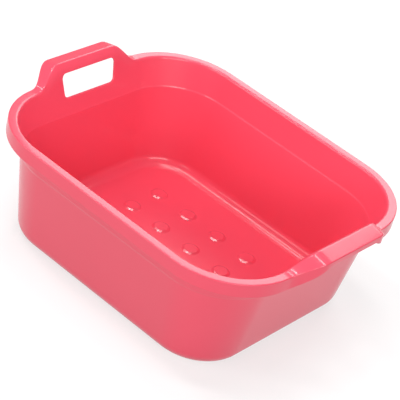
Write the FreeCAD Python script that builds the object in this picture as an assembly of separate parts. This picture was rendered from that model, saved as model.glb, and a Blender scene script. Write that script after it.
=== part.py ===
"""Washing up bowl: one moulding with a rolled rim and two raised, looped handles.

Millimetres, +Z up, long side along X. The origin is on the surface that the bowl stands on, under its middle.
"""
import FreeCAD, Part
import math
import os

from FreeCAD import Vector

# Wall and floor of the moulding
wall = 2.0
floor = 2.4
foot_recess = 1.0
foot_band = 8.0
base_round = 16.0

# Inside of the mouth, and the straight run of each end, which is the same at every height
rim_length = 338.0
rim_width = 287.0
rim_height = 130.0
end_straight = 144.0

# Stacking ledge: its drop below the rim, and how far the ends and the sides have drawn in there. From the ledge
# down to the foot the wall draws in by the same taper all round.
ledge_drop = 33.0
ledge_rise = 2.0
ledge_step = 0.8
end_draw = 10.5
side_draw = 4.75
wall_taper = 14.1

# Rim: a flat flange round the mouth and the skirt that hangs from it
rim_flange = 10.0
rim_skirt = 15.5
rim_bend = 3.0
rim_edge = 1.2

# Handles: between short runs of plain rim, the flange climbs a ramp, stands further out and carries a shallow lip
handle_margin = 2.0
grip_width = 80.0
reach_width = 80.0
handle_rise = 20.5
handle_reach = 28.0
handle_flange = 16.0
handle_slope = 14.0
handle_root = 24.0
flare_drop = 5.5
flare_lead = 8.0
lip_depth = 6.5
lip_width = 66.0
shoulder_share = 0.8
ramp_stations = 7

# Hand hole through each handle
slot_top_width = 79.0
slot_bottom_width = 72.0
slot_height = 25.5
slot_sill = 14.5
slot_corner = 5.0

# Raised pips on the floor
pip_diameter = 20.0
pip_height = 1.6
pip_slope = 2.5
pip_pitch_x = 44.0
pip_pitch_y = 43.0
pip_columns = 5
pip_rows = 4

# Cuts run past the faces that they open by this much, and faces that meet within the seam are joined
overrun = 5.0
seam = 0.002


def between(low, high, share):
    """Value part of the way from low to high."""
    return low + (high - low) * share


def eased(share):
    """S-shaped share with level ends, as a moulded ramp has."""
    share = min(max(share, 0.0), 1.0)
    return share * share * (3.0 - 2.0 * share)


def ring(length, width, z):
    """Rounded rectangle at height z."""
    radius = (width - end_straight) / 2
    turn_x, turn_y = length / 2 - radius, end_straight / 2
    corners = []
    for quarter, (sx, sy) in enumerate(((1, 1), (-1, 1), (-1, -1), (1, -1))):
        circle = Part.Circle(Vector(sx * turn_x, sy * turn_y, z), Vector(0, 0, 1), radius)
        corners.append(Part.ArcOfCircle(circle, quarter * math.pi / 2, (quarter + 1) * math.pi / 2))
    edges = []
    for corner, following in zip(corners, corners[1:] + corners[:1]):
        edges.append(corner.toShape())
        edges.append(Part.makeLine(corner.EndPoint, following.StartPoint))
    return Part.Wire(edges)


ledge_foot = rim_height - ledge_drop
ledge_top = ledge_foot + ledge_rise


def inside_size(z):
    """Inside length and width of the wall at height z."""
    if z > ledge_foot:
        inset = 0
        share = (rim_height - z) / (rim_height - ledge_top)
    else:
        inset = ledge_step + wall_taper * (1 - z / ledge_foot)
        share = 1
    return rim_length - 2 * (end_draw * share + inset), rim_width - 2 * (side_draw * share + inset)


def wall_ring(z, offset):
    """Ring of the wall at height z, moved out from its inside face."""
    length, width = inside_size(z)
    return ring(length + 2 * offset, width + 2 * offset, z)


def wall_loft(levels, offset):
    """Solid bounded by the wall's inside face, or by its outside face, between the levels."""
    return Part.makeLoft([wall_ring(z, offset) for z in levels], True, True)


def prism(wire, height):
    """Solid above a flat wire."""
    return Part.Face(wire).extrude(Vector(0, 0, height))


def level_edges(shape, z):
    """Edges of a shape that lie at height z."""
    return [e for e in shape.Edges if all(abs(v.Z - z) < wall / 100 for v in e.Vertexes)]


# Handle and rim share one section. It is drawn in a plane across the end of the bowl: u runs outward from the
# rim's inside edge and z is the height.
handle_span = end_straight - 2 * handle_margin
end_lean = math.atan2(end_draw, rim_height - ledge_top)
skin = wall * math.cos(end_lean)
wall_direction = (math.sin(end_lean), math.cos(end_lean))


def along(point, direction, distance):
    return point[0] + direction[0] * distance, point[1] + direction[1] * distance


def lower_side(direction):
    """Unit normal on the right of a direction, towards the underside of the section."""
    return direction[1], -direction[0]


def mitre(corner, first, second, distance):
    """Corner of the line that runs beside two lines at the given distance on their lower side."""
    n1, n2 = lower_side(first), lower_side(second)
    stretch = distance / (1 + n1[0] * n2[0] + n1[1] * n2[1])
    return corner[0] + (n1[0] + n2[0]) * stretch, corner[1] + (n1[1] + n2[1]) * stretch


def bend(corner, first, second, radius):
    """Start, corner and end of the arc that rounds a corner, and the weight that makes the curve circular."""
    turn = math.acos(first[0] * second[0] + first[1] * second[1])
    tangent = radius * math.tan(turn / 2)
    return along(corner, first, -tangent), corner, along(corner, second, tangent), math.cos(turn / 2)


def section(rise_share, reach_share, lip_z, y):
    """Closed outline of wall, flange and skirt at one station, from the plain rim (0) to the grip (1)."""
    slope = math.radians(handle_slope) * rise_share
    crest = ((handle_reach - handle_flange) * rise_share, rim_height + handle_rise * rise_share)
    reach = between(rim_flange, handle_reach, reach_share)
    outer_corner = (reach, crest[1] - (reach - crest[0]) * math.tan(slope))
    flange_direction = (math.cos(slope), -math.sin(slope))
    skirt_direction = (0.0, -1.0)

    def on_wall(z):
        return (z - rim_height) * math.tan(end_lean), z

    root = on_wall(rim_height - handle_root)
    lead = on_wall(crest[1] - flare_drop - flare_lead)
    knee = on_wall(crest[1] - flare_drop)
    rise = math.hypot(crest[0] - knee[0], crest[1] - knee[1])
    flare_direction = ((crest[0] - knee[0]) / rise, (crest[1] - knee[1]) / rise)
    crest_top = bend(crest, flare_direction, flange_direction, rim_bend)
    under_corner = mitre(crest, flare_direction, flange_direction, skin)
    edge = along(outer_corner, flange_direction, -rim_edge), along(outer_corner, skirt_direction, rim_edge)
    skirt_end = (reach, lip_z)

    lead_under = along(lead, lower_side(wall_direction), skin)
    knee_under = mitre(knee, wall_direction, flare_direction, skin)
    edge_under = mitre(outer_corner, flange_direction, skirt_direction, skin)
    skirt_under = along(skirt_end, lower_side(skirt_direction), skin)
    root_under = (root[0] + wall, root[1])

    def place(point):
        return Vector(rim_length / 2 + point[0], y, point[1])

    def line(start, end):
        return Part.makeLine(place(start), place(end))

    def curve(start, pole, end, weight):
        arc = Part.BezierCurve()
        arc.setPoles([place(start), place(pole), place(end)])
        arc.setWeight(2, weight)
        return arc.toShape()

    return Part.Wire([
        line(root, lead),
        curve(lead, knee, crest_top[0], 1),
        curve(*crest_top),
        line(crest_top[2], edge[0]),
        line(*edge),
        line(edge[1], skirt_end),
        line(skirt_end, skirt_under),
        line(skirt_under, edge_under),
        line(edge_under, under_corner),
        curve(under_corner, knee_under, lead_under, 1),
        line(lead_under, root_under),
        line(root_under, root),
    ])


def handle_section(y):
    """Section of the handle at a place along the end of the bowl."""
    def ramp(top_width):
        climbed = min((handle_span - 2 * abs(y)) / (handle_span - top_width), 1.0)
        return eased(max(climbed, 0.0) ** shoulder_share)

    grip_edge = rim_height + handle_rise - handle_flange * math.tan(math.radians(handle_slope))
    lip_z = between(rim_height - rim_skirt, grip_edge - lip_depth, ramp(lip_width))
    return section(ramp(grip_width), ramp(reach_width), lip_z, y)


def make_handle():
    """Both ramps and the grip between them, in place of the rim's straight end."""
    run = (handle_span - lip_width) / 2
    last = ramp_stations - 1
    low = [handle_section(-handle_span / 2 + run * i / last) for i in range(ramp_stations)]
    high = [handle_section(handle_span / 2 - run * i / last) for i in range(ramp_stations)]
    grip = Part.Face(low[-1]).extrude(Vector(0, lip_width, 0))
    ramps = [Part.makeLoft(low, True, False), Part.makeLoft(high, True, False)]
    return grip.multiFuse(ramps)


def make_slot():
    """Tool for the hand hole: a tapered slot with round corners, from the inside to short of the lip."""
    z_low = rim_height - slot_sill
    z_high = z_low + slot_height
    x_low = rim_length / 2 - handle_root
    x_high = rim_length / 2 + handle_reach - 2 * wall
    corners = [
        Vector(x_low, -slot_bottom_width / 2, z_low),
        Vector(x_low, slot_bottom_width / 2, z_low),
        Vector(x_low, slot_top_width / 2, z_high),
        Vector(x_low, -slot_top_width / 2, z_high),
    ]
    block = Part.Face(Part.makePolygon(corners + corners[:1])).extrude(Vector(x_high - x_low, 0, 0))
    long_edges = [e for e in block.Edges if abs(e.Length - (x_high - x_low)) < wall / 100]
    return block.makeFillet(slot_corner, long_edges)


def make_pip():
    """One raised pip with sloping sides, sunk into the floor by half its thickness."""
    sunk = floor / 2
    radius = pip_diameter / 2
    low_radius = radius + pip_slope * sunk / pip_height
    return Part.makeCone(low_radius, radius - pip_slope, sunk + pip_height, Vector(0, 0, -sunk))


def make_pips():
    """Grid of pips in the middle of the floor."""
    pip = make_pip()
    pips = []
    for column in range(pip_columns):
        for row in range(pip_rows):
            x = (column - (pip_columns - 1) / 2) * pip_pitch_x
            y = (row - (pip_rows - 1) / 2) * pip_pitch_y
            pips.append(pip.translated(Vector(x, y, foot_recess + floor)))
    return pips


def make_shell():
    """Bowl with its rim running level all the way round."""
    outer = wall_loft([0, ledge_foot, ledge_top, rim_height], wall)
    outer = outer.makeFillet(base_round, level_edges(outer, 0))
    floor_top = foot_recess + floor
    inner = wall_loft([floor_top, ledge_foot, ledge_top, rim_height + overrun], 0)
    inner = inner.makeFillet(base_round - wall, level_edges(inner, floor_top))

    def rim_ring(offset, z):
        return ring(rim_length + 2 * offset, rim_width + 2 * offset, z)

    rim = prism(rim_ring(rim_flange, rim_height - rim_skirt), rim_skirt)
    rim = rim.makeChamfer(rim_edge, level_edges(rim, rim_height))
    channel = prism(rim_ring(rim_flange - skin, rim_height - rim_skirt - overrun), rim_skirt + overrun - skin)
    shell = outer.fuse(rim.cut(channel)).cut(inner)
    mouth = [e for e in level_edges(shell, rim_height)
             if all(abs(v.X) < rim_length / 2 + skin for v in e.Vertexes)
             and all(abs(v.Y) < rim_width / 2 + skin for v in e.Vertexes)]
    return shell.makeFillet(rim_bend, mouth)


def make_foot_recess():
    """Tool for the shallow panel under the floor, which leaves a band to stand on."""
    length, width = inside_size(0)
    inset = base_round + foot_band - wall
    panel = ring(length - 2 * inset, width - 2 * inset, -overrun)
    return prism(panel, overrun + foot_recess)


def make_bowl():
    shell = make_shell()
    gap_x = rim_length / 2 - handle_root
    gap = Part.makeBox(handle_root + rim_flange + overrun, handle_span, handle_root + overrun,
                       Vector(gap_x, -handle_span / 2, rim_height - handle_root))
    turned = FreeCAD.Rotation(Vector(0, 0, 1), 180)
    handle = make_handle().cut(make_slot())
    ends = [handle, handle.copy()]
    ends[1].Placement = FreeCAD.Placement(Vector(0, 0, 0), turned)
    gaps = [gap, gap.copy()]
    gaps[1].Placement = FreeCAD.Placement(Vector(0, 0, 0), turned).multiply(gap.Placement)
    shell = shell.cut(make_foot_recess()).cut(gaps[0]).cut(gaps[1])
    return shell.multiFuse(ends + make_pips(), seam)


os.makedirs("parts", exist_ok=True)
bowl = make_bowl()
bowl.exportStep("parts/bowl.step")
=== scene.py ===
import cmath
import math

import bmesh
import bpy
import numpy as np
from mathutils import Matrix, Vector


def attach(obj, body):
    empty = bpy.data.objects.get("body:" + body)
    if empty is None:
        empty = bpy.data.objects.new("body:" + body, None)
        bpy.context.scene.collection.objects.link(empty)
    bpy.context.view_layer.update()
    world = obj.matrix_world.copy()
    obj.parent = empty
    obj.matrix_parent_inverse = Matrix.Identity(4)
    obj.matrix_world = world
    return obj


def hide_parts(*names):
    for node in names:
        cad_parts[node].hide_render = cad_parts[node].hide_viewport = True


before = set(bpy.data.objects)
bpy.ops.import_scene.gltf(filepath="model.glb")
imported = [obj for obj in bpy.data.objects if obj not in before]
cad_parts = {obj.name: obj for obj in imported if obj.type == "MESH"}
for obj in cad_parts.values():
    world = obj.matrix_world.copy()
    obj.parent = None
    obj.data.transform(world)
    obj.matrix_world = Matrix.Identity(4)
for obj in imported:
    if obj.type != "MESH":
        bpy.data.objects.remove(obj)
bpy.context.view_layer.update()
scene = bpy.context.scene

# The photograph's camera, worked out from the rim, the foot and the handles (degrees, metres, pixels)
CAMERA_AZIMUTH = 33.40
CAMERA_ELEVATION = 33.83
CAMERA_ROLL = 15.83
CAMERA_DISTANCE = 1.7649
CAMERA_TARGET = Vector((0.00625, 0.00374, 0.07953))
CAMERA_CLIP = 0.05
FOCAL_PIXELS = 1713.9
IMAGE_PIXELS = 400
SENSOR_MM = 36.0

# Ground under the bowl, a hair lower than its foot (metres), its grey, and the glow that makes it look white
GROUND_HALF = 6.0
GROUND_GAP = 0.0002
GROUND_GREY = (0.35, 0.35, 0.35, 1.0)
GROUND_GLOW = 0.65

# Light from all round, and the lamps: place, aim, width and depth (metres), and brightness, where 1 is white
WHITE = (1.0, 1.0, 1.0, 1.0)
WORLD_GLOW = 0.20
BOWL_MIDDLE = (0.0, 0.0, 0.1)

# Behind the bowl, mirrored in the top of the rim
BACK_PLACE = (-0.85, 1.97, 1.45)
BACK_SIZE = (1.65, 1.4)
BACK_GLOW = 4.0

# Two thin strips overhead, mirrored in the near edges of the pips
TOP_PLACE = (0.0, -0.26, 1.89)
TOP_AIM = (-0.10, -0.11, 0.1)
TOP_SIZE = (1.1, 0.16)
TOP_GLOW = 13.5
LEFT_PLACE = (-0.95, -0.37, 1.89)
LEFT_AIM = (-0.87, 0.05, 0.1)
LEFT_SIZE = (1.4, 0.2)
LEFT_GLOW = 12.5

# A strip overhead, mirrored in the ramps of the handles
SIDE_PLACE = (-0.38, 0.23, 1.89)
SIDE_AIM = (0.0, 0.17, 0.1)
SIDE_SIZE = (0.28, 0.92)
SIDE_GLOW = 8.5

# Two panels that light the outer walls, one for an end and one for a long side
FRONT_PLACE = (2.5, -1.30, 1.2)
FRONT_SIZE = (2.4, 1.1)
FRONT_GLOW = 6.8
LOW_PLACE = (-1.0, -2.35, 1.0)
LOW_SIZE = (2.4, 1.2)
LOW_GLOW = 4.0

# Red plastic: a cloud mixes two close reds and two close roughnesses, under a fine grain and a clear coat
RED_DEEP = (0.83, 0.068, 0.120, 1.0)
RED_PALE = (0.87, 0.076, 0.132, 1.0)
ROUGHNESS_LOW = 0.42
ROUGHNESS_HIGH = 0.50
CLOUD_SCALE = 9.0
CLOUD_DETAIL = 3.0
CLOUD_ROUGHNESS = 0.55
GRAIN_SCALE = 420.0
GRAIN_DETAIL = 2.0
GRAIN_STRENGTH = 0.05
GRAIN_DEPTH = 0.0004
PLASTIC_IOR = 1.5
PLASTIC_SPECULAR = 0.3
COAT_WEIGHT = 0.65
COAT_ROUGHNESS = 0.1

# Bowl in millimetres, with the solid's own sizes
MM = 0.001
WALL = 2.0
FLOOR_TOP = 3.4
FOOT_RECESS = 1.0
FOOT_BAND = 8.0
BASE_ROUND = 16.0
RIM_LENGTH = 338.0
RIM_WIDTH = 287.0
RIM_HEIGHT = 130.0
END_STRAIGHT = 144.0
LEDGE_FOOT = 97.0
LEDGE_TOP = 99.0
LEDGE_STEP = 0.8
END_DRAW = 10.5
SIDE_DRAW = 4.75
WALL_TAPER = 14.1
RIM_FLANGE = 10.0
RIM_SKIRT = 15.5
RIM_BEND = 3.0
HANDLE_RISE = 20.5
HANDLE_REACH = 28.0
HANDLE_FLANGE = 16.0
HANDLE_SLOPE = math.radians(14.0)
HANDLE_ROOT = 24.0
FLARE_DROP = 5.5
FLARE_LEAD = 8.0
LIP_DEPTH = 6.5
SLOT_TOP_WIDTH = 79.0
SLOT_BOTTOM_WIDTH = 72.0
SLOT_HEIGHT = 25.5
SLOT_SILL = 14.5
SLOT_CORNER = 5.0
PIP_DIAMETER = 20.0
PIP_HEIGHT = 1.6
PIP_SLOPE = 2.5
PIP_PITCH_X = 44.0
PIP_PITCH_Y = 43.0
PIP_COLUMNS = 5
PIP_ROWS = 4

# Rounded edges and handle ramps in millimetres, softer here than on the solid
LEDGE_ROUND = 5.0
RIM_EDGE = 1.2
THROAT_ROUND = 1.1
LIP_ROUND = 0.6
SLOT_EDGE = 0.6
PIP_ROUND = 1.2
RAMP_SPAN = 156.0
GRIP_WIDTH = 76.0
REACH_WIDTH = 76.0
LIP_WIDTH = 62.0

# Mesh steps along the profile and round the bowl. The steps of a hand hole's corner are an even number.
WALL_STEPS = 6
FLARE_STEPS = 8
BASE_STEPS = 9
BEND_STEPS = 6
EDGE_STEPS = 4
LEDGE_STEPS = 2
LIP_STEPS = 2
CORNER_STEPS = 44
SIDE_STEPS = 16
GRIP_STEPS = 20
RAMP_STEPS = 34
SLOT_STEPS = 8
PIP_STEPS = 3
PIP_SIDE_STEPS = 8

# Hand hole's patch of mesh: half its width (millimetres), and its loops as shares of the way to its border
SLOT_PATCH = 44.0
SLOT_LOOPS = (0.0, 0.1, 0.25, 0.45, 0.7)

# Points nearer than this are joined (millimetres)
MERGE_DISTANCE = 0.001

# Faces weigh in the shading by their area, and 50 leaves those weights as they are
SHADING_WEIGHT = 50


def between(low, high, share):
    return low + (high - low) * share


def nearest(places, aim):
    """Number of the place that lies nearest to the aim."""
    return min(range(len(places)), key=lambda i: abs(places[i] - aim))


def eased(share):
    """S-shaped share with level ends, as a moulded ramp has."""
    share = min(max(share, 0.0), 1.0)
    return share ** 3 * (10.0 - 15.0 * share + 6.0 * share ** 2)


# Profiles lie in a plane across the rim, as complex numbers: the distance out from the mouth's edge, and the
# height times i.

def straight(start, end, steps):
    """Points from start up to, but without, the end."""
    return [between(start, end, i / steps) for i in range(steps)]


def curve(start, pole, end, steps):
    """Points of a flare from start up to, but without, the end."""
    points = []
    for i in range(steps):
        share = i / steps
        points.append(between(between(start, pole, share), between(pole, end, share), share))
    return points


def rounded(corner, first, second, radius, steps):
    """Points of the arc that rounds a corner between two directions, both ends included."""
    turn = cmath.phase(second / first)
    start = corner - first * radius * math.tan(abs(turn) / 2)
    centre = start + first * 1j * math.copysign(radius, turn)
    return [centre + (start - centre) * cmath.exp(1j * turn * i / steps) for i in range(steps + 1)]


def direction(start, end):
    return (end - start) / abs(end - start)


def mitre(corner, first, second, distance):
    """Corner of the line that runs under two lines at the given distance."""
    normals = first * -1j + second * -1j
    return corner + normals * distance / (1 + (first * second.conjugate()).real)


def lower_wall(draw, floor_z, base_round, offset):
    """Wall from the floor up to the ledge, with a soft ledge.

    Draw is how far the wall comes in from the mouth down to the ledge, and offset how far out this skin lies.
    """
    ledge_out = -draw + offset
    ledge_in = ledge_out - LEDGE_STEP
    foot = complex(ledge_in - WALL_TAPER * (1 - floor_z / LEDGE_FOOT), floor_z)
    low, high = complex(ledge_in, LEDGE_FOOT), complex(ledge_out, LEDGE_TOP)
    mouth = complex(offset, RIM_HEIGHT)
    rise, step, upper = direction(foot, low), direction(low, high), direction(high, mouth)
    base = rounded(foot, 1 + 0j, rise, base_round, BASE_STEPS)
    ledge = rounded(low, rise, step, LEDGE_ROUND, LEDGE_STEPS)
    ledge += rounded(high, step, upper, LEDGE_ROUND, LEDGE_STEPS)
    return base + straight(base[-1], ledge[0], WALL_STEPS)[1:] + ledge


def rim_section(draw, rise_share, reach_share, lip_z):
    """Wall, flange and skirt above the root, from the plain rim (shares of 0) to the grip (shares of 1).

    Gives the wall's inside, then the rim over its edge and back below, then the wall's outside.
    """
    lean = math.atan2(draw, RIM_HEIGHT - LEDGE_TOP)
    skin = WALL * math.cos(lean)
    slope = HANDLE_SLOPE * rise_share
    upward, outward = cmath.rect(1, math.pi / 2 - lean), cmath.rect(1, -slope)
    crest = complex((HANDLE_REACH - HANDLE_FLANGE) * rise_share, RIM_HEIGHT + HANDLE_RISE * rise_share)
    reach = between(RIM_FLANGE, HANDLE_REACH, reach_share)
    corner = complex(reach, crest.imag - (reach - crest.real) * math.tan(slope))

    def on_wall(z):
        return complex((z - RIM_HEIGHT) * math.tan(lean), z)

    root = on_wall(RIM_HEIGHT - HANDLE_ROOT)
    lead = on_wall(crest.imag - FLARE_DROP - FLARE_LEAD)
    knee = on_wall(crest.imag - FLARE_DROP)
    flare = direction(knee, crest)
    bend = rounded(crest, flare, outward, RIM_BEND, BEND_STEPS)
    edge = rounded(corner, outward, -1j, RIM_EDGE, EDGE_STEPS)
    lip = rounded(complex(reach, lip_z), -1j, -1 + 0j, LIP_ROUND, LIP_STEPS)
    lip += rounded(complex(reach - skin, lip_z), -1 + 0j, 1j, LIP_ROUND, LIP_STEPS)
    roof = rounded(mitre(corner, outward, -1j, skin), 1j, -outward, THROAT_ROUND, EDGE_STEPS)
    throat = rounded(mitre(crest, flare, outward, skin), -outward, -flare, THROAT_ROUND, BEND_STEPS)
    lead_under = lead - 1j * upward * skin
    knee_under = mitre(knee, upward, flare, skin)
    inside = straight(root, lead, WALL_STEPS) + curve(lead, knee, bend[0], FLARE_STEPS)
    under = curve(throat[-1], knee_under, lead_under, FLARE_STEPS)
    under += straight(lead_under, root + WALL, WALL_STEPS)
    top = bend + edge + straight(edge[-1], lip[0], EDGE_STEPS)[1:] + lip
    back = straight(lip[-1], roof[0], EDGE_STEPS)[1:] + roof + throat[:-1]
    return inside, top + back, under + [root + WALL]


def profile(draw, rise_share, reach_share, lip_z):
    """Whole profile from the floor's edge over the rim to the panel under the floor."""
    inside, rim, under = rim_section(draw, rise_share, reach_share, lip_z)
    inner = lower_wall(draw, FLOOR_TOP, BASE_ROUND - WALL, 0.0)
    outer = lower_wall(draw, 0.0, BASE_ROUND, WALL)[::-1]
    band_edge = outer[-1] - FOOT_BAND
    return inner + inside + rim + under + outer + [band_edge, band_edge + 1j * FOOT_RECESS]


def handle_profile(y):
    """Profile at a place along the end of the bowl."""
    def ramp(top_width):
        return eased((RAMP_SPAN - 2 * abs(y)) / (RAMP_SPAN - top_width))

    grip_edge = RIM_HEIGHT + HANDLE_RISE - HANDLE_FLANGE * math.tan(HANDLE_SLOPE)
    lip_z = between(RIM_HEIGHT - RIM_SKIRT, grip_edge - LIP_DEPTH, ramp(LIP_WIDTH))
    return profile(END_DRAW, ramp(GRIP_WIDTH), ramp(REACH_WIDTH), lip_z)


def half_round():
    """Places along one end, and columns of points from there round two corners to the other end."""
    side = profile(SIDE_DRAW, 0.0, 0.0, RIM_HEIGHT - RIM_SKIRT)
    half = END_STRAIGHT / 2
    lip_end = LIP_WIDTH / 2
    quarter = math.pi / 2
    places = straight(-half, -lip_end, RAMP_STEPS)
    places += straight(-lip_end, lip_end, GRIP_STEPS)
    places += straight(lip_end, half, RAMP_STEPS)
    columns = [[(RIM_LENGTH / 2 + p.real, y, p.imag) for p in handle_profile(y)] for y in places]

    def corner(sign, angle):
        """Column at an angle round a corner, where the end's profile turns into the side's."""
        column = []
        end_profile = handle_profile(half + ((RIM_WIDTH + RIM_FLANGE) / 2 - half) * angle)
        for at_end, at_side in zip(end_profile, side):
            radius = RIM_WIDTH / 2 + at_side.real - half
            turn = RIM_LENGTH / 2 + at_end.real - radius
            z = between(at_end.imag, at_side.imag, math.sin(angle) ** 2)
            column.append((sign * (turn + radius * math.cos(angle)), half + radius * math.sin(angle), z))
        return column

    first = [corner(1, quarter * i / CORNER_STEPS) for i in range(CORNER_STEPS)]
    last = [corner(-1, quarter * (1 - i / CORNER_STEPS)) for i in range(CORNER_STEPS)]
    start, end = corner(1, quarter), last[0]
    run = []
    for i in range(SIDE_STEPS):
        share = i / SIDE_STEPS
        run.append([tuple(between(a, b, share) for a, b in zip(p, q)) for p, q in zip(start, end)])
    return places, columns + first + run + last


def resample(points, steps):
    """Points at even distances along a line of points."""
    travelled = [0.0]
    for a, b in zip(points, points[1:]):
        travelled.append(travelled[-1] + abs(b - a))
    at = [travelled[-1] * i / steps for i in range(steps + 1)]
    ys = np.interp(at, travelled, [p.real for p in points])
    zs = np.interp(at, travelled, [p.imag for p in points])
    return [complex(y, z) for y, z in zip(ys, zs)]


def slot_outline(grow, across, upright):
    """Hand hole seen along the bowl, as complex numbers, with as many steps as the patch that it sits in.

    Each side runs from the middle of one rounded corner to the middle of the next.
    """
    low = RIM_HEIGHT - SLOT_SILL - grow
    high = RIM_HEIGHT - SLOT_SILL + SLOT_HEIGHT + grow
    bottom, top = SLOT_BOTTOM_WIDTH / 2 + grow, SLOT_TOP_WIDTH / 2 + grow
    corners = [complex(-bottom, low), complex(bottom, low), complex(top, high), complex(-top, high)]
    arcs = []
    for before, corner, after in zip(corners[-1:] + corners, corners, corners[1:] + corners[:1]):
        first, second = direction(before, corner), direction(corner, after)
        arcs.append(rounded(corner, first, second, SLOT_CORNER + grow, SLOT_STEPS))
    middle = SLOT_STEPS // 2
    outline = []
    for arc, following, steps in zip(arcs, arcs[1:] + arcs[:1], (across, upright, across, upright)):
        outline += resample(arc[middle:] + following[:middle + 1], steps)[:-1]
    return outline


class Moulding:
    """Mesh of the bowl, gathered in millimetres."""

    def __init__(self):
        self.points = []
        self.faces = []

    def add(self, points):
        """New points, as a list of their numbers."""
        first = len(self.points)
        self.points += points
        return list(range(first, len(self.points)))

    def join(self, first, second):
        """Faces between two closed loops of as many points."""
        for i in range(len(first)):
            self.faces.append((first[i - 1], first[i], second[i], second[i - 1]))

    def walls(self):
        """Walls, rim, handles and underside. Gives the loop at the edge of the floor."""
        places, half = half_round()
        columns = half + [[(-x, -y, z) for x, y, z in column] for column in half]
        grid = [self.add(column) for column in columns]
        inside, rim = rim_section(END_DRAW, 1.0, 1.0, RIM_HEIGHT)[:2]
        inner_row = len(lower_wall(END_DRAW, FLOOR_TOP, BASE_ROUND - WALL, 0.0))
        outer_row = inner_row + len(inside) + len(rim)
        patch_rows = WALL_STEPS + FLARE_STEPS
        left, right = nearest(places, -SLOT_PATCH), nearest(places, SLOT_PATCH)
        for j, column in enumerate(grid):
            after = grid[(j + 1) % len(grid)]
            across = left <= j % len(half) < right
            for k in range(len(column) - 1):
                upright = any(row <= k < row + patch_rows for row in (inner_row, outer_row))
                if not (across and upright):
                    self.faces.append((column[k], after[k], after[k + 1], column[k + 1]))
        self.faces.append([column[-1] for column in grid])
        for first, sign in ((0, 1), (len(half), -1)):
            patch = grid[first + left:first + right + 1]
            inner = [column[inner_row:inner_row + patch_rows + 1] for column in patch]
            outer = [column[outer_row:outer_row + patch_rows + 1][::-1] for column in patch]
            self.slot(inner, outer, sign)
        return [column[0] for column in grid]

    def slot(self, inner, outer, sign):
        """Hand hole between the patches left open in the inner and the outer skin of a handle."""
        across, upright = len(inner) - 1, len(inner[0]) - 1

        def border(patch):
            loop = [column[0] for column in patch[:-1]] + patch[-1][:-1]
            return loop + [column[-1] for column in patch[:0:-1]] + patch[0][:0:-1]

        def skin(patch):
            wall = [self.points[i] for i in patch[0]]
            return lambda z: np.interp(z, [p[2] for p in wall], [sign * p[0] for p in wall])

        inner_x, outer_x = skin(inner), skin(outer)

        def loop(places, depth_share, depth):
            points = []
            for p in places:
                x = between(inner_x(p.imag), outer_x(p.imag), depth_share) + depth
                points.append((sign * x, sign * p.real, p.imag))
            return self.add(points)

        def spread(patch, depth_share):
            """Loops from the hole's edge out to the border of the patch."""
            edge = border(patch)
            aims = [complex(sign * self.points[i][1], self.points[i][2]) for i in edge]
            hole = slot_outline(SLOT_EDGE, across, upright)
            loops = []
            for share in SLOT_LOOPS:
                places = [between(start, aim, share) for start, aim in zip(hole, aims)]
                loops.append(loop(places, depth_share, 0.0))
            return loops + [edge]

        # Halfway round the hole's rounded edge
        turn = SLOT_EDGE * (1 - math.sqrt(0.5))
        chain = spread(inner, 0.0)[::-1]
        chain.append(loop(slot_outline(turn, across, upright), 0.0, turn))
        chain.append(loop(slot_outline(0.0, across, upright), 0.0, SLOT_EDGE))
        chain.append(loop(slot_outline(0.0, across, upright), 1.0, -SLOT_EDGE))
        chain.append(loop(slot_outline(turn, across, upright), 1.0, -turn))
        chain += spread(outer, 1.0)
        for first, second in zip(chain, chain[1:]):
            self.join(first, second)

    def pip(self, x, y):
        """One square of the floor with a pip on it."""
        radius = PIP_DIAMETER / 2
        foot, shoulder = complex(-radius, 0.0), complex(PIP_SLOPE - radius, PIP_HEIGHT)
        rise = direction(foot, shoulder)
        shape = rounded(foot, 1 + 0j, rise, PIP_ROUND, PIP_STEPS)
        shape += rounded(shoulder, rise, 1 + 0j, PIP_ROUND, PIP_STEPS)
        square = []
        for turn in range(4):
            for i in range(PIP_SIDE_STEPS):
                along = 2 * i / PIP_SIDE_STEPS - 1
                place = complex(1, along) * 1j ** turn
                square.append(complex(place.real * PIP_PITCH_X / 2, place.imag * PIP_PITCH_Y / 2))
        loops = [self.add([(x + p.real, y + p.imag, FLOOR_TOP) for p in square])]
        rays = [p / abs(p) for p in square]
        for p in shape:
            ring = [(x - p.real * ray.real, y - p.real * ray.imag, FLOOR_TOP + p.imag) for ray in rays]
            loops.append(self.add(ring))
        for first, second in zip(loops, loops[1:]):
            self.join(first, second)
        self.faces.append(loops[-1])

    def floor(self, edge):
        """Squares with the pips, and the plain floor from there out to its edge."""
        reach_x, reach_y = PIP_COLUMNS * PIP_PITCH_X / 2, PIP_ROWS * PIP_PITCH_Y / 2
        first = len(self.points)
        for column in range(PIP_COLUMNS):
            for row in range(PIP_ROWS):
                self.pip((column + 0.5) * PIP_PITCH_X - reach_x, (row + 0.5) * PIP_PITCH_Y - reach_y)
        border = {}
        for i in range(first, len(self.points)):
            x, y = self.points[i][:2]
            if max(abs(x) - reach_x, abs(y) - reach_y) > -PIP_ROUND:
                border[round(x), round(y)] = i
        self.stitch(list(border.values()), edge)

    def stitch(self, inner, outer):
        """Triangles between two level loops round the middle, which may have different numbers of points."""
        def angle(i):
            return math.atan2(self.points[i][1], self.points[i][0])

        inner, outer = sorted(inner, key=angle), sorted(outer, key=angle)
        inner_turns = [angle(i) for i in inner[1:]] + [angle(inner[0]) + math.tau, math.inf]
        outer_turns = [angle(j) for j in outer[1:]] + [angle(outer[0]) + math.tau, math.inf]
        inner, outer = inner + inner[:1], outer + outer[:1]
        i = j = 0
        while i + j < len(inner) + len(outer) - 2:
            if inner_turns[i] < outer_turns[j]:
                self.faces.append((inner[i], inner[i + 1], outer[j]))
                i += 1
            else:
                self.faces.append((inner[i], outer[j + 1], outer[j]))
                j += 1

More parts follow.
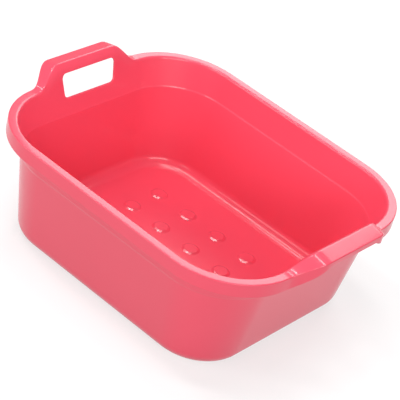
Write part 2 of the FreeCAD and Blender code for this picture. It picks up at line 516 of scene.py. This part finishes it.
    def make(self, name):
        """Finished mesh, with the points that lie in one place joined."""
        self.floor(self.walls())
        mesh = bpy.data.meshes.new(name)
        mesh.from_pydata([[c * MM for c in p] for p in self.points], [], self.faces)
        work = bmesh.new()
        work.from_mesh(mesh)
        bmesh.ops.remove_doubles(work, verts=work.verts, dist=MERGE_DISTANCE * MM)
        bmesh.ops.delete(work, geom=[v for v in work.verts if not v.link_faces], context="VERTS")
        bmesh.ops.recalc_face_normals(work, faces=work.faces)
        for face in work.faces:
            face.smooth = True
        work.to_mesh(mesh)
        work.free()
        return mesh


def add_bowl(material):
    """Bowl as one smooth moulding, in place of the plain solid."""
    mesh = Moulding().make("bowl_moulding")
    mesh.materials.append(material)
    bowl = bpy.data.objects.new("bowl_moulding", mesh)
    scene.collection.objects.link(bowl)
    normals = bowl.modifiers.new("even_shading", "WEIGHTED_NORMAL")
    normals.weight = SHADING_WEIGHT
    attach(bowl, "root")
    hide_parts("bowl")


def view_axes(azimuth, elevation, roll):
    """Right, up and back directions of a camera."""
    a, e, r = math.radians(azimuth), math.radians(elevation), math.radians(roll)
    back = Vector((math.sin(a) * math.cos(e), -math.cos(a) * math.cos(e), math.sin(e)))
    right = Vector((math.cos(a), math.sin(a), 0.0))
    up = back.cross(right)
    return right * math.cos(r) + up * math.sin(r), up * math.cos(r) - right * math.sin(r), back


def add_camera():
    right, up, back = view_axes(CAMERA_AZIMUTH, CAMERA_ELEVATION, CAMERA_ROLL)
    data = bpy.data.cameras.new("camera")
    data.sensor_width = SENSOR_MM
    data.lens = FOCAL_PIXELS / IMAGE_PIXELS * SENSOR_MM
    data.clip_start = CAMERA_CLIP
    camera = bpy.data.objects.new("camera", data)
    scene.collection.objects.link(camera)
    place = Matrix((right, up, back)).transposed().to_4x4()
    place.translation = CAMERA_TARGET + back * CAMERA_DISTANCE
    camera.matrix_world = place
    scene.camera = camera


class Nodes:
    """Short way to add nodes to a tree and join them."""

    def __init__(self, tree):
        self.tree = tree

    def add(self, kind, **values):
        """New node, with each value set on its setting or its socket of that name."""
        node = self.tree.nodes.new(kind)
        for name, value in values.items():
            if hasattr(node, name):
                setattr(node, name, value)
            else:
                node.inputs[name].default_value = value
        return node

    def join(self, source, target):
        self.tree.links.new(source, target)


def new_material(name):
    material = bpy.data.materials.new(name)
    material.use_nodes = True
    material.node_tree.nodes.clear()
    return material, Nodes(material.node_tree)


def red_plastic():
    """Glossy moulded polypropylene."""
    material, nodes = new_material("red_polypropylene")
    out = nodes.add("ShaderNodeOutputMaterial")
    shader = nodes.add("ShaderNodeBsdfPrincipled")
    place = nodes.add("ShaderNodeTexCoord")
    cloud = nodes.add("ShaderNodeTexNoise", Scale=CLOUD_SCALE, Detail=CLOUD_DETAIL, Roughness=CLOUD_ROUGHNESS)
    tint = nodes.add("ShaderNodeValToRGB")
    tint.color_ramp.elements[0].position = 0.0
    tint.color_ramp.elements[0].color = RED_DEEP
    tint.color_ramp.elements[1].position = 1.0
    tint.color_ramp.elements[1].color = RED_PALE
    gloss = nodes.add("ShaderNodeMapRange")
    gloss.inputs["To Min"].default_value = ROUGHNESS_LOW
    gloss.inputs["To Max"].default_value = ROUGHNESS_HIGH
    grain = nodes.add("ShaderNodeTexNoise", Scale=GRAIN_SCALE, Detail=GRAIN_DETAIL)
    bump = nodes.add("ShaderNodeBump", Strength=GRAIN_STRENGTH, Distance=GRAIN_DEPTH)
    shader.inputs["IOR"].default_value = PLASTIC_IOR
    shader.inputs["Specular IOR Level"].default_value = PLASTIC_SPECULAR
    shader.inputs["Coat Weight"].default_value = COAT_WEIGHT
    shader.inputs["Coat Roughness"].default_value = COAT_ROUGHNESS
    nodes.join(place.outputs["Object"], cloud.inputs["Vector"])
    nodes.join(place.outputs["Object"], grain.inputs["Vector"])
    nodes.join(cloud.outputs["Fac"], tint.inputs["Fac"])
    nodes.join(cloud.outputs["Fac"], gloss.inputs["Value"])
    nodes.join(tint.outputs["Color"], shader.inputs["Base Color"])
    nodes.join(gloss.outputs["Result"], shader.inputs["Roughness"])
    nodes.join(grain.outputs["Fac"], bump.inputs["Height"])
    nodes.join(bump.outputs["Normal"], shader.inputs["Normal"])
    nodes.join(shader.outputs["BSDF"], out.inputs["Surface"])
    return material


def white_ground():
    """Grey that keeps the bowl's shadow, with a glow that only views and reflections see."""
    material, nodes = new_material("white_floor")
    out = nodes.add("ShaderNodeOutputMaterial")
    paint = nodes.add("ShaderNodeBsdfDiffuse", Color=GROUND_GREY)
    glow = nodes.add("ShaderNodeEmission", Color=WHITE)
    ray = nodes.add("ShaderNodeLightPath")
    lift = nodes.add("ShaderNodeMath", operation="MULTIPLY")
    lift.inputs[1].default_value = GROUND_GLOW
    both = nodes.add("ShaderNodeAddShader")
    seen = nodes.add("ShaderNodeMath", operation="ADD")
    through = nodes.add("ShaderNodeMath", operation="ADD")
    nodes.join(ray.outputs["Is Camera Ray"], seen.inputs[0])
    nodes.join(ray.outputs["Is Glossy Ray"], seen.inputs[1])
    nodes.join(seen.outputs["Value"], through.inputs[0])
    nodes.join(ray.outputs["Is Transmission Ray"], through.inputs[1])
    nodes.join(through.outputs["Value"], lift.inputs[0])
    nodes.join(lift.outputs["Value"], glow.inputs["Strength"])
    nodes.join(paint.outputs["BSDF"], both.inputs[0])
    nodes.join(glow.outputs["Emission"], both.inputs[1])
    nodes.join(both.outputs["Shader"], out.inputs["Surface"])
    return material


def add_floor(material):
    """Plain square of ground that the bowl stands on."""
    mesh = bpy.data.meshes.new("floor")
    signs = ((-1, -1), (1, -1), (1, 1), (-1, 1))
    corners = [(x * GROUND_HALF, y * GROUND_HALF, -GROUND_GAP) for x, y in signs]
    mesh.from_pydata(corners, [], [(0, 1, 2, 3)])
    mesh.materials.append(material)
    floor = bpy.data.objects.new("floor", mesh)
    scene.collection.objects.link(floor)


def add_world():
    """Even white light from all round."""
    world = bpy.data.worlds.new("studio")
    world.use_nodes = True
    world.node_tree.nodes.clear()
    nodes = Nodes(world.node_tree)
    out = nodes.add("ShaderNodeOutputWorld")
    fill = nodes.add("ShaderNodeBackground", Color=WHITE, Strength=WORLD_GLOW)
    nodes.join(fill.outputs["Background"], out.inputs["Surface"])
    scene.world = world


def add_softbox(name, place, aim, size, brightness):
    """Area light whose surface has the given brightness, where 1 is white."""
    width, depth = size
    data = bpy.data.lights.new(name, "AREA")
    data.shape = "RECTANGLE"
    data.size = width
    data.size_y = depth
    data.energy = brightness * math.pi * width * depth
    light = bpy.data.objects.new(name, data)
    light.location = place
    light.rotation_euler = (Vector(aim) - Vector(place)).to_track_quat("-Z", "Y").to_euler()
    scene.collection.objects.link(light)


add_camera()
add_floor(white_ground())
add_world()
add_softbox("back_panel", BACK_PLACE, BOWL_MIDDLE, BACK_SIZE, BACK_GLOW)
add_softbox("top_panel", TOP_PLACE, TOP_AIM, TOP_SIZE, TOP_GLOW)
add_softbox("left_strip", LEFT_PLACE, LEFT_AIM, LEFT_SIZE, LEFT_GLOW)
add_softbox("side_panel", SIDE_PLACE, SIDE_AIM, SIDE_SIZE, SIDE_GLOW)
add_softbox("front_panel", FRONT_PLACE, BOWL_MIDDLE, FRONT_SIZE, FRONT_GLOW)
add_softbox("low_panel", LOW_PLACE, BOWL_MIDDLE, LOW_SIZE, LOW_GLOW)
add_bowl(red_plastic())

scene.view_settings.view_transform = "Standard"
